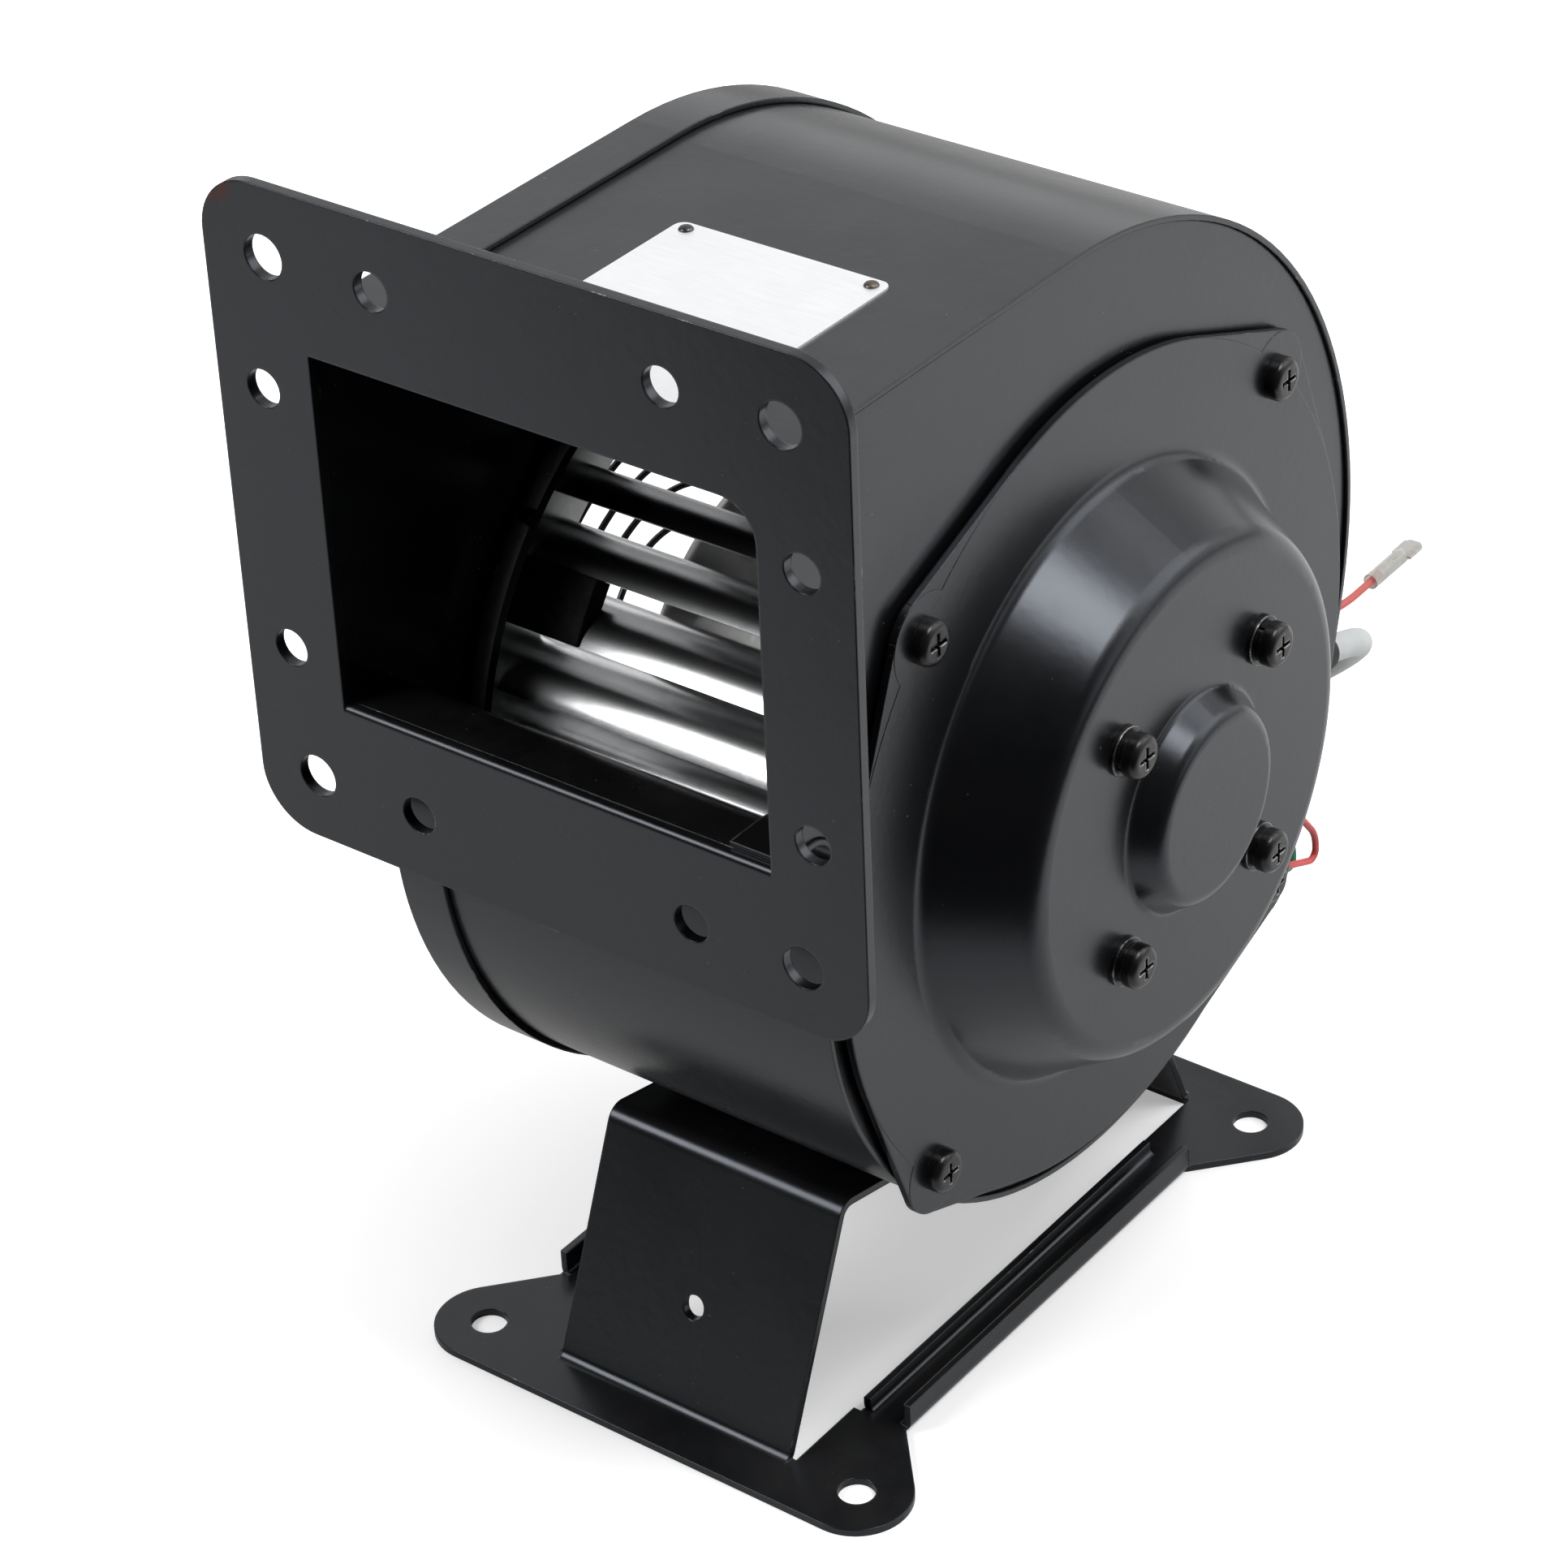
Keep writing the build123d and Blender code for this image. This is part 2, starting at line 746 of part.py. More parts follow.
def motor_spring_washers():
    washers = []
    for y, z, angle in fixing_places(motor_screw_circle_r):
        ring = washer(cup_face_x + washer_t, shaft_y + y, shaft_z + z, spring_washer_t, spring_washer_r)
        plane = across(cup_face_x + washer_t, shaft_y + y, shaft_z + z)
        cut = Pos(spring_washer_r, 0) * Rectangle(2 * spring_washer_r, spring_split)
        split = Rot(0, 0, angle + spring_split_turn) * cut
        washers.append(ring - extrude(plane * split, spring_washer_t))
    return washers


def motor_screws():
    head_x = cup_face_x + washer_t + spring_washer_t
    length = head_x - bracket_far_x + motor_screw_spare
    return [
        pan_screw(head_x, shaft_y + y, shaft_z + z, length)
        for y, z, _ in fixing_places(motor_screw_circle_r)
    ]


# Foot
def foot_plate():
    """Flat sheet on the floor between the two ears of one end, as its outline"""
    rounds = []
    for side in (-1, 1):
        rounds.append(Pos(side * foot_hole_half_x, foot_hole_half_y) * Circle(ear_r))
        rounds.append(Pos(side * (foot_side_x - waist_r), foot_side_y + waist_r) * Circle(waist_r))
    return make_hull(Sketch(children=rounds).edges())


def saddle_line():
    """Middle line of the legs and the saddle strip, as (y, z), from one foot to the other"""
    seat_r = scroll_r + seam + base_t / 2
    pieces = []
    ends = []
    for side, clear in ((-1, leg_front_clear), (1, leg_back_clear)):
        away_z = leg_bend_z - shaft_z
        away_y = side * math.sqrt((seat_r + clear) ** 2 - away_z**2)
        spread = math.degrees(math.acos(seat_r / (seat_r + clear)))
        angle = math.degrees(math.atan2(away_z, away_y)) - side * spread
        touch = Vector(shaft_y, shaft_z) + Vector(seat_r, 0).rotate(Axis.Z, angle)
        path = FilletPolyline(
            (side * (leg_fold_y + 2 * leg_bend_r), base_t / 2),
            (side * leg_fold_y, base_t / 2),
            (shaft_y + away_y, leg_bend_z),
            (touch.X, touch.Y),
            radius=leg_bend_r,
        )
        pieces.append(path)
        ends.append(angle)
    pieces.append(arc((shaft_y, shaft_z), seat_r, ends[0], ends[1]))
    return pieces


def side_rail():
    """Bent edge of the foot between its two plates"""
    near_x = rail_inner_x + base_t / 2
    side_x = foot_side_x - base_t / 2
    bends = [(near_x, rail_lip), (near_x, base_t / 2), (side_x, base_t / 2), (side_x, rail_flange)]
    section = trace(FilletPolyline(*bends, radius=rail_bend_r), base_t)
    reach = foot_side_y + rail_overlap
    rail = extrude(Plane(origin=(0, reach, 0), x_dir=(1, 0, 0), z_dir=(0, -1, 0)) * section, 2 * reach)
    above = Pos((rail_inner_x + foot_side_x) / 2, 0, base_t + rail_flange / 2)
    ends = Box(2 * rail_width, 2 * reach, rail_flange) - Box(2 * rail_width, 2 * foot_side_y, rail_flange)
    return rail - above * ends


def support_bracket():
    end_plate = foot_plate()
    body = extrude(end_plate, base_t) + extrude(mirror(end_plate, Plane.XZ), base_t)
    body -= Pos(flange_mid_x, 0, 0) * Box(leg_width + 2 * leg_slot, 2 * leg_fold_y - leg_slot, 4 * base_t)
    body -= Box(2 * rail_inner_x, 2 * (foot_side_y + leg_slot), 4 * base_t)
    rail = side_rail()
    body += rail + mirror(rail, Plane.YZ)
    strip = None
    for piece in saddle_line():
        part = trace(piece, base_t)
        strip = part if strip is None else strip + part
    body += extrude(Plane.YZ.offset(flange_mid_x - leg_width / 2) * strip, leg_width)
    for place in GridLocations(foot_hole_x, foot_hole_y, 2, 2):
        body -= place * Pos(0, 0, base_t / 2) * Cylinder(foot_hole_r, 2 * base_t)
    hole_plane = Plane(origin=(flange_mid_x, 0, leg_hole_z), x_dir=(1, 0, 0), z_dir=(0, -1, 0))
    return body - extrude(hole_plane * Circle(leg_hole_r), foot_hole_y, both=True)


# Rating plate
def rating_rivet_places():
    return [
        (plate_mid_x + side * rating_rivet_x / 2, plate_mid_y + way * rating_rivet_y / 2)
        for side in (-1, 1)
        for way in (-1, 1)
    ]


def rating_plate():
    face = RectangleRounded(rating_width, rating_depth, rating_corner_r)
    body = extrude(Pos(plate_mid_x, plate_mid_y, casing_top_z) * face, rating_t)
    for x, y in rating_rivet_places():
        body -= extrude(Pos(x, y, casing_top_z) * Circle(rivet_r + fit_gap), rating_t)
    return body


def rating_plate_rivets():
    rivets = []
    for x, y in rating_rivet_places():
        head = extrude(Pos(x, y, casing_top_z + rating_t) * Circle(rivet_head_r), rivet_head_h)
        head = fillet(head.edges().group_by(Axis.Z)[-1], rivet_round_share * rivet_head_h)
        shank = extrude(Pos(x, y, casing_top_z) * Circle(rivet_r), rating_t)
        rivets.append(head + shank)
    return rivets


# Capacitor
def under_back(radius, along, x):
    """Plane on a line that slopes under the casing: its own x along the line, y outward"""
    slope = math.radians(capacitor_slope)
    line = Vector(0, math.cos(slope), math.sin(slope))
    out = Vector(0, math.sin(slope), -math.cos(slope))
    origin = Vector(x, shaft_y, shaft_z) + out * radius + line * along
    return Plane(origin=origin, x_dir=line, z_dir=line.cross(out))


def run_capacitor():
    radius = scroll_r + seam + carrier_t + fit_gap
    plane = under_back(radius, capacitor_start, capacitor_near_x)
    box = RectangleRounded(capacitor_length, capacitor_t, capacitor_edge_r)
    face = Pos(capacitor_length / 2, capacitor_t / 2) * box
    return extrude(plane * face, -capacitor_width * plane.z_dir.X)


def capacitor_carrier():
    """Flat tab welded along the casing's tangent line, behind the capacitor"""
    radius = scroll_r + seam
    plane = under_back(radius, 0, capacitor_near_x - (capacitor_width - carrier_width) / 2)
    length = capacitor_start + capacitor_length - carrier_set_back + carrier_lead_in
    face = Pos(length / 2 - carrier_lead_in, carrier_t / 2) * Rectangle(length, carrier_t)
    return extrude(plane * face, -carrier_width * plane.z_dir.X)


# Gland and cable
def turned_bush(x, z, outline):
    """Rubber bush in the back wall, from an outline of (radius, distance outward)"""
    point, out = back_wall(x, z)
    plane = Plane(origin=point, x_dir=(1, 0, 0), z_dir=Vector(1, 0, 0).cross(out))
    return revolve(plane * make_face(Polyline(*outline, close=True)), Axis(point, out))


def cable_gland():
    """Rubber gland snapped into the back wall, tapering along the cable"""
    back = -2 * sheet - seam - gland_play
    front = fit_gap + gland_flange_t
    outline = [
        (cable_r, -gland_inside),
        (gland_shoulder_r, -gland_inside),
        (gland_neck_r + gland_lip, back),
        (gland_neck_r, back),
        (gland_neck_r, fit_gap),
        (gland_flange_r, fit_gap),
        (gland_flange_r, front),
        (gland_shoulder_r, front),
        (gland_tail_r, gland_tail),
        (cable_r, gland_tail),
    ]
    return turned_bush(gland_x, gland_z, outline)


def corner_radii(route):
    """Largest fillet that the runs beside each corner of the route allow"""
    points = [Vector(*point) for point in route]
    radii = []
    for a, b, c in zip(points, points[1:], points[2:]):
        turn = math.radians((b - a).get_angle(c - b))
        radii.append(bend_share * min((b - a).length, (c - b).length) / math.tan(turn / 2))
    return radii


def along(route, radius):
    """Round cord of straight runs and tangent arcs through a route of points"""
    path = FilletPolyline(*route, radius=corner_radii(route))
    return sweep(Plane(origin=path @ 0, z_dir=path % 0) * Circle(radius), path), path.length


def supply_cable():
    point, out = back_wall(gland_x, gland_z)
    starts = [point + out * gland_tail, point + out * (gland_tail + first_run)]
    route = [tuple(start) for start in starts] + cable_route
    body, length = along(route, cable_r)
    print("cable route", [tuple(round(value, 1) for value in place) for place in route])
    print("cable radii", [round(radius, 1) for radius in corner_radii(route)])
    print("cable length", round(length, 1))
    print("volume against section times length", round(body.volume / (length * math.pi * cable_r**2), 4))
    return body


def cable_end():
    end = Vector(*cable_route[-1])
    return end, (end - Vector(*cable_route[-2])).normalized()


def core_routes():
    """Route of each core, from the cable's cut end to its crimp"""
    end, ahead = cable_end()
    side = Vector(0, 0, 1).cross(ahead)
    for k, tip in enumerate(core_ends):
        turn = math.radians(core_first_angle + 360 * k / len(core_ends))
        start = end + side * (core_spread_r * math.cos(turn))
        start += Vector(0, 0, core_spread_r * math.sin(turn))
        yield [start, start + ahead * core_start, Vector(*tip)]


def core_wires():
    return [along([tuple(place) for place in route], core_r)[0] for route in core_routes()]


def core_tip_planes():
    """Plane at each core's tip, its z along the wire and its y up"""
    for route in core_routes():
        ahead = (route[-1] - route[-2]).normalized()
        yield Plane(origin=route[-1], x_dir=ahead.cross(Vector(0, 0, 1)), z_dir=ahead)


def core_sleeves():
    """Clear sleeves over the crimps"""
    face = Circle(sleeve_r) - Circle(crimp_r + fit_gap)
    return [
        extrude(plane.offset(-sleeve_grip) * face, sleeve_length) for plane in core_tip_planes()
    ]


def core_terminals():
    """Crimp barrels on the wires, each flattened into a tab beyond its sleeve"""
    terminals = []
    for plane in core_tip_planes():
        barrel = extrude(Circle(crimp_r), sleeve_length - sleeve_grip)
        barrel -= extrude(Circle(core_r + fit_gap / 2), sleeve_grip)
        tab = Pos(0, 0, sleeve_length - sleeve_grip + tab_length / 2) * Box(tab_width, tab_t, tab_length)
        tab = chamfer(tab.edges().group_by(Axis.Z)[-1].filter_by(Axis.Y), tab_chamfer)
        terminals.append(plane.offset(fit_gap / 2) * (barrel + tab))
    return terminals


# Capacitor leads
def capacitor_end():
    """Middle of the capacitor's outer end, with the directions along it and outward"""
    radius = scroll_r + seam + carrier_t + fit_gap + capacitor_t / 2
    plane = under_back(radius, capacitor_start + capacitor_length, bush_x)
    return plane.origin, plane.x_dir


def capacitor_leads():
    """Two thin leads that loop from the capacitor's end up into the casing"""
    end, ahead = capacitor_end()
    wall, out = back_wall(bush_x, bush_z)
    mouth = wall + out * (bush_flange_t + fit_gap)
    leads = []
    for side, loop in zip((-1, 1), thin_loops):
        shift = Vector(side * thin_gap / 2, 0, 0)
        inlet = mouth + shift * thin_entry_share
        route = [end + shift, end + shift + ahead * thin_start]
        route += [Vector(bush_x, y, z) + shift for y, z in loop]
        route += [inlet + out * thin_start, inlet]
        leads.append(along([tuple(place) for place in route], thin_r)[0])
    return leads


def lead_bush():
    outline = [
        (0, -2 * sheet),
        (bush_neck_r, -2 * sheet),
        (bush_neck_r, fit_gap),
        (bush_flange_r, fit_gap),
        (bush_flange_r, fit_gap + bush_flange_t),
        (0, fit_gap + bush_flange_t),
    ]
    return turned_bush(bush_x, bush_z, outline)


nodes = {
    "scroll_wrapper": scroll_wrapper,
    "inlet_side_cover": inlet_side_cover,
    "motor_side_plate": motor_side_plate,
    "outlet_flange": outlet_flange,
    "inlet_bell_mouth": inlet_bell_mouth,
    "inlet_guard": inlet_guard,
    "guard_screws": guard_screws,
    "motor_mount_plate": motor_mount_plate,
    "mount_plate_screws": mount_plate_screws,
    "motor_flat_washers": motor_flat_washers,
    "motor_spring_washers": motor_spring_washers,
    "motor_screws": motor_screws,
    "stator_bracket": stator_bracket,
    "stator_core": stator_core,
    "stator_windings": stator_windings,
    "far_bearing": lambda: bearing(tube_far_x),
    "near_bearing": lambda: bearing(near_bearing_x()),
    "shaft": shaft,
    "retaining_ring": retaining_ring,
    "rotor_shell": rotor_shell,
    "rotor_core": rotor_core,
    "impeller_back_disc": impeller_back_disc,
    "impeller_inlet_ring": impeller_inlet_ring,
    "impeller_blades": impeller_blades,
    "balance_clip": balance_clip,
    "support_bracket": support_bracket,
    "rating_plate": rating_plate,
    "rating_plate_rivets": rating_plate_rivets,
    "run_capacitor": run_capacitor,
    "capacitor_carrier": capacitor_carrier,
    "cable_gland": cable_gland,
    "supply_cable": supply_cable,
    "core_wires": core_wires,
    "core_sleeves": core_sleeves,
    "core_terminals": core_terminals,
    "capacitor_leads": capacitor_leads,
    "lead_bush": lead_bush,
}

os.makedirs("parts", exist_ok=True)
for name, build in nodes.items():
    shape = build()
    if isinstance(shape, list):
        shape = Compound(children=shape)
    export_step(shape, f"parts/{name}.step")
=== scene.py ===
import json
import math

import bpy
from mathutils import Matrix, Vector


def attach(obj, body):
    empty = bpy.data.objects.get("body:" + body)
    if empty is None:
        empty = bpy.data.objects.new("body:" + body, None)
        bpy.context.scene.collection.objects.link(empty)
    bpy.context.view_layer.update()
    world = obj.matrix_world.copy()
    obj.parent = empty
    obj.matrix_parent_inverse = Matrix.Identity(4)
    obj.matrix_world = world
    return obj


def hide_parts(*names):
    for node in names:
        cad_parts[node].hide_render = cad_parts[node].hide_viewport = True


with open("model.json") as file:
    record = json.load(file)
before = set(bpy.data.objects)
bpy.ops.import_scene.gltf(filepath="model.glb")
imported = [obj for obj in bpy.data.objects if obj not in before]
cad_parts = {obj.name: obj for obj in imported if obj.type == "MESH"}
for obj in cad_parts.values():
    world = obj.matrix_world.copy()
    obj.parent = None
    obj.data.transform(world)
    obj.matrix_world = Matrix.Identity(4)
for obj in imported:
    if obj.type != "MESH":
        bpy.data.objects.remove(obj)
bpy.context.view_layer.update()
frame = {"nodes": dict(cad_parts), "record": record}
nodes = frame["nodes"]
scene = bpy.context.scene

# camera at the photograph's viewing angle
azimuth = math.radians(38.06)
elevation = math.radians(32.85)
roll = math.radians(-2.54)
camera_place = (0.4456, -0.5928, 0.5815)
back = Vector(
    (
        math.sin(azimuth) * math.cos(elevation),
        -math.cos(azimuth) * math.cos(elevation),
        math.sin(elevation),
    )
)
level = Vector((math.cos(azimuth), math.sin(azimuth), 0))
rise = back.cross(level)
right = math.cos(roll) * level + math.sin(roll) * rise
up = -math.sin(roll) * level + math.cos(roll) * rise
camera_data = bpy.data.cameras.new("camera")
camera = bpy.data.objects.new("camera", camera_data)
scene.collection.objects.link(camera)
turn = Matrix((right, up, back)).transposed().to_4x4()
camera.matrix_world = Matrix.Translation(camera_place) @ turn
camera_data.sensor_width = 36
camera_data.lens = 111.05
camera_data.clip_start = 0.01
camera_data.clip_end = 50
scene.camera = camera

# the supply cable, from the gland down behind the casing to the floor
cable_route = [
    (0.0408, 0.0935, 0.0961),
    (0.0408, 0.1079, 0.0921),
    (0.033, 0.119, 0.081),
    (0.018, 0.125, 0.0665),
    (-0.004, 0.132, 0.048),
    (-0.027, 0.145, 0.028),
    (-0.045, 0.163, 0.011),
    (-0.054, 0.187, 0.0032),
    (-0.054, 0.213, 0.00285),
    (-0.048, 0.238, 0.00285),
]
cable_radius = 0.00275


def spline_piece(name, points, radius, body="housing"):
    """A round cord through the points, riding on the body."""
    curve = bpy.data.curves.new(name, "CURVE")
    curve.dimensions = "3D"
    curve.resolution_u = 16
    curve.bevel_depth = 1.0
    curve.bevel_resolution = 6
    curve.use_fill_caps = True
    spline = curve.splines.new("NURBS")
    spline.points.add(len(points) - 1)
    for point, place in zip(spline.points, points):
        point.co = (*place, 1)
        point.radius = radius
    spline.order_u = 3
    spline.use_endpoint_u = True
    piece = bpy.data.objects.new(name, curve)
    scene.collection.objects.link(piece)
    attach(piece, body)
    return piece


cable = spline_piece("supply_cable_sheath", cable_route, cable_radius)
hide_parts("supply_cable")


def mesh_piece(name, points, faces, material, body="housing"):
    """A piece made of points and faces, riding on the body."""
    mesh = bpy.data.meshes.new(name)
    mesh.from_pydata(points, [], faces)
    mesh.update()
    piece = bpy.data.objects.new(name, mesh)
    scene.collection.objects.link(piece)
    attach(piece, body)
    return piece


def prism(outline, low, high, place):
    """Points and faces of a closed outline drawn out from low to high."""
    count = len(outline)
    points = [place(a, b, low) for a, b in outline] + [place(a, b, high) for a, b in outline]
    sides = [(k, (k + 1) % count, count + (k + 1) % count, count + k) for k in range(count)]
    return points, [tuple(reversed(range(count)))] + [tuple(range(count, 2 * count))] + sides


def joined(parts):
    """Points and faces of several parts as one mesh."""
    points, faces = [], []
    for some_points, some_faces in parts:
        shift = len(points)
        points += some_points
        faces += [tuple(index + shift for index in face) for face in some_faces]
    return points, faces


# straight webs between the mount plate's disc and its ears
shaft_y, shaft_z = 0.0043, 0.1207
disc_r, ear_r, ear_reach = 0.078, 0.0086, 0.076
web_far_x, web_near_x = 0.04905, 0.05045
web_sink = 0.0002
web_steps = 8
ear_angles = (45, 135, 225, 315)


def ear_web(side):
    """Outline between disc, ear and the straight line that touches both, about the shaft."""
    lean = math.acos((disc_r - ear_r) / ear_reach)
    sunk_disc, sunk_ear = disc_r - web_sink, ear_r - web_sink
    span = (sunk_disc**2 + ear_reach**2 - sunk_ear**2) / (2 * ear_reach)
    cross_turn = math.acos(span / sunk_disc)
    cross_height = sunk_disc * math.sin(cross_turn)
    ear_turn = math.atan2(cross_height, span - ear_reach)
    points = [(disc_r * math.cos(lean), disc_r * math.sin(lean))]
    points.append((ear_reach + ear_r * math.cos(lean), ear_r * math.sin(lean)))
    for k in range(web_steps):
        turn = lean + (ear_turn - lean) * k / (web_steps - 1)
        points.append((ear_reach + sunk_ear * math.cos(turn), sunk_ear * math.sin(turn)))
    for k in range(1, web_steps):
        turn = cross_turn + (lean - cross_turn) * k / (web_steps - 1)
        points.append((sunk_disc * math.cos(turn), sunk_disc * math.sin(turn)))
    points = [(a, side * b) for a, b in points]
    return points if side > 0 else points[::-1]


def about_shaft(angle):
    """Turns an outline about the shaft, with its depth along the shaft."""
    turn = math.radians(angle)

    def place(a, b, x):
        y = a * math.cos(turn) - b * math.sin(turn)
        z = a * math.sin(turn) + b * math.cos(turn)
        return x, shaft_y + y, shaft_z + z

    return place


webs = joined(
    prism(ear_web(side), web_far_x, web_near_x, about_shaft(angle))
    for angle in ear_angles
    for side in (1, -1)
)
mount_plate_webs = mesh_piece("mount_plate_webs", *webs, "black_paint")

# rating plate, which reaches forward under the flange's edge, and its four rivets
plate_x, plate_y, plate_z = 0.0077, -0.05525, 0.2231
plate_half_x, plate_half_y, plate_t, plate_corner = 0.02175, 0.0285, 0.0004, 0.002
rivet_x, rivet_y, rivet_r, rivet_h = 0.019, 0.02625, 0.00135, 0.0007


def rounded_rectangle(half_a, half_b, radius, steps=6):
    """Outline of a rectangle with rounded corners, about its centre."""
    points = []
    for quarter, (side, way) in enumerate(((1, 1), (-1, 1), (-1, -1), (1, -1))):
        for k in range(steps):
            turn = math.radians(90 * quarter + 90 * k / (steps - 1))
            a = side * (half_a - radius) + radius * math.cos(turn)
            points.append((a, way * (half_b - radius) + radius * math.sin(turn)))
    return points


def on_top(a, b, height):
    """A place on the casing's flat top, from the rating plate's centre."""
    return plate_x + a, plate_y + b, plate_z + height


def dome(a, b, steps=20, rings=5):
    """Rivet head: a low dome on the plate."""
    points, faces = [], []
    for ring in range(rings):
        turn = math.pi / 2 * ring / rings
        radius, height = rivet_r * math.cos(turn), plate_t + rivet_h * math.sin(turn)
        for k in range(steps):
            way = 2 * math.pi * k / steps
            points.append(on_top(a + radius * math.cos(way), b + radius * math.sin(way), height))
    points.append(on_top(a, b, plate_t + rivet_h))
    for ring in range(rings - 1):
        for k in range(steps):
            first, second = ring * steps + k, ring * steps + (k + 1) % steps
            faces.append((first, second, second + steps, first + steps))
    top = (rings - 1) * steps
    faces += [(top + k, top + (k + 1) % steps, rings * steps) for k in range(steps)]
    faces.append(tuple(reversed(range(steps))))
    return points, faces


label = mesh_piece(
    "rating_plate_bare",
    *prism(rounded_rectangle(plate_half_x, plate_half_y, plate_corner), 0, plate_t, on_top),
    "bare_plate",
)
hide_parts("rating_plate")
heads = joined(dome(side * rivet_x, way * rivet_y) for side in (-1, 1) for way in (-1, 1))
rivet_heads = mesh_piece("rating_plate_rivet_heads", *heads, "bare_plate")
for polygon in rivet_heads.data.polygons:
    polygon.use_smooth = True
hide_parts("rating_plate_rivets")


# materials
class Nodes:
    """A material's node tree, with short calls for the nodes that the finishes share."""

    def __init__(self, name):
        self.material = bpy.data.materials.new(name)
        self.material.use_nodes = True
        self.tree = self.material.node_tree
        self.shader = self.tree.nodes["Principled BSDF"]
        self.place = self.make("ShaderNodeTexCoord").outputs["Object"]
        self.rounded = None

    def make(self, kind, **settings):
        node = self.tree.nodes.new(kind)
        for key, value in settings.items():
            setattr(node, key, value)
        return node

    def link(self, source, target):
        if hasattr(source, "is_output"):
            self.tree.links.new(source, target)
        else:
            target.default_value = source

    def stretched(self, scale):
        node = self.make("ShaderNodeMapping")
        self.link(self.place, node.inputs["Vector"])
        node.inputs["Scale"].default_value = scale
        return node.outputs["Vector"]

    def noise(self, scale, detail=4, roughness=0.5, vector=None):
        node = self.make("ShaderNodeTexNoise")
        self.link(vector or self.place, node.inputs["Vector"])
        node.inputs["Scale"].default_value = scale
        node.inputs["Detail"].default_value = detail
        node.inputs["Roughness"].default_value = roughness
        return node.outputs["Fac"]

    def cells(self, scale, output="Distance"):
        node = self.make("ShaderNodeTexVoronoi")
        self.link(self.place, node.inputs["Vector"])
        node.inputs["Scale"].default_value = scale
        return node.outputs[output]

    def span(self, value, low, high, to_low=0, to_high=1):
        node = self.make("ShaderNodeMapRange")
        self.link(value, node.inputs["Value"])
        node.inputs["From Min"].default_value = low
        node.inputs["From Max"].default_value = high
        node.inputs["To Min"].default_value = to_low
        node.inputs["To Max"].default_value = to_high
        return node.outputs["Result"]

    def math(self, operation, first, second=0.0):
        node = self.make("ShaderNodeMath", operation=operation)
        self.link(first, node.inputs[0])
        self.link(second, node.inputs[1])
        return node.outputs["Value"]

    def mix(self, share, first, second):
        node = self.make("ShaderNodeMix", data_type="RGBA")
        self.link(share, node.inputs["Factor"])
        self.link(first, node.inputs[6])
        self.link(second, node.inputs[7])
        return node.outputs[2]

    def blend(self, share, first, second):
        node = self.make("ShaderNodeMix", data_type="FLOAT")
        self.link(share, node.inputs["Factor"])
        self.link(first, node.inputs[2])
        self.link(second, node.inputs[3])
        return node.outputs[0]

    def bump(self, height, distance, strength=1.0):
        node = self.make("ShaderNodeBump")
        self.link(height, node.inputs["Height"])
        node.inputs["Distance"].default_value = distance
        node.inputs["Strength"].default_value = strength
        if self.rounded:
            self.link(self.rounded, node.inputs["Normal"])
        self.link(node.outputs["Normal"], self.shader.inputs["Normal"])

    def edge(self, radius, low, high):
        """How much of an edge a point is on: the bevelled normal against the plain one.

        The same normal rounds the edges off in the bump that follows.
        """
        bevel = self.make("ShaderNodeBevel", samples=6)
        bevel.inputs["Radius"].default_value = radius
        self.rounded = bevel.outputs["Normal"]
        plain = self.make("ShaderNodeNewGeometry")
        dot = self.make("ShaderNodeVectorMath", operation="DOT_PRODUCT")
        self.link(bevel.outputs["Normal"], dot.inputs[0])
        self.link(plain.outputs["Normal"], dot.inputs[1])
        return self.span(dot.outputs["Value"], high, low)

    def facing_up(self):
        plain = self.make("ShaderNodeNewGeometry")
        parts = self.make("ShaderNodeSeparateXYZ")
        self.link(plain.outputs["Normal"], parts.inputs[0])
        return parts.outputs["Z"]

    def coordinate(self, axis):
        parts = self.make("ShaderNodeSeparateXYZ")
        self.link(self.place, parts.inputs[0])
        return parts.outputs[axis]

    def vector_math(self, operation, vector=(0, 0, 0)):
        """A measure of the point's place: its length, or against the given vector."""
        node = self.make("ShaderNodeVectorMath", operation=operation)
        self.link(self.place, node.inputs[0])
        node.inputs[1].default_value = vector
        return node.outputs["Value"]

    def set(self, **values):
        for key, value in values.items():
            self.link(value, self.shader.inputs[key.replace("_", " ")])


def colour(r, g, b):
    return (r, g, b, 1)


# a little rust at the flange's upper left corner
rust_spot = (-0.0612, -0.089, 0.2443)
rust_out, rust_in = 0.0055, 0.0025

# what lies on the paint, and the metal under it
dust_colour = colour(0.34, 0.33, 0.315)
rust_colour = colour(0.115, 0.032, 0.018)
bare_metal = colour(0.40, 0.39, 0.37)


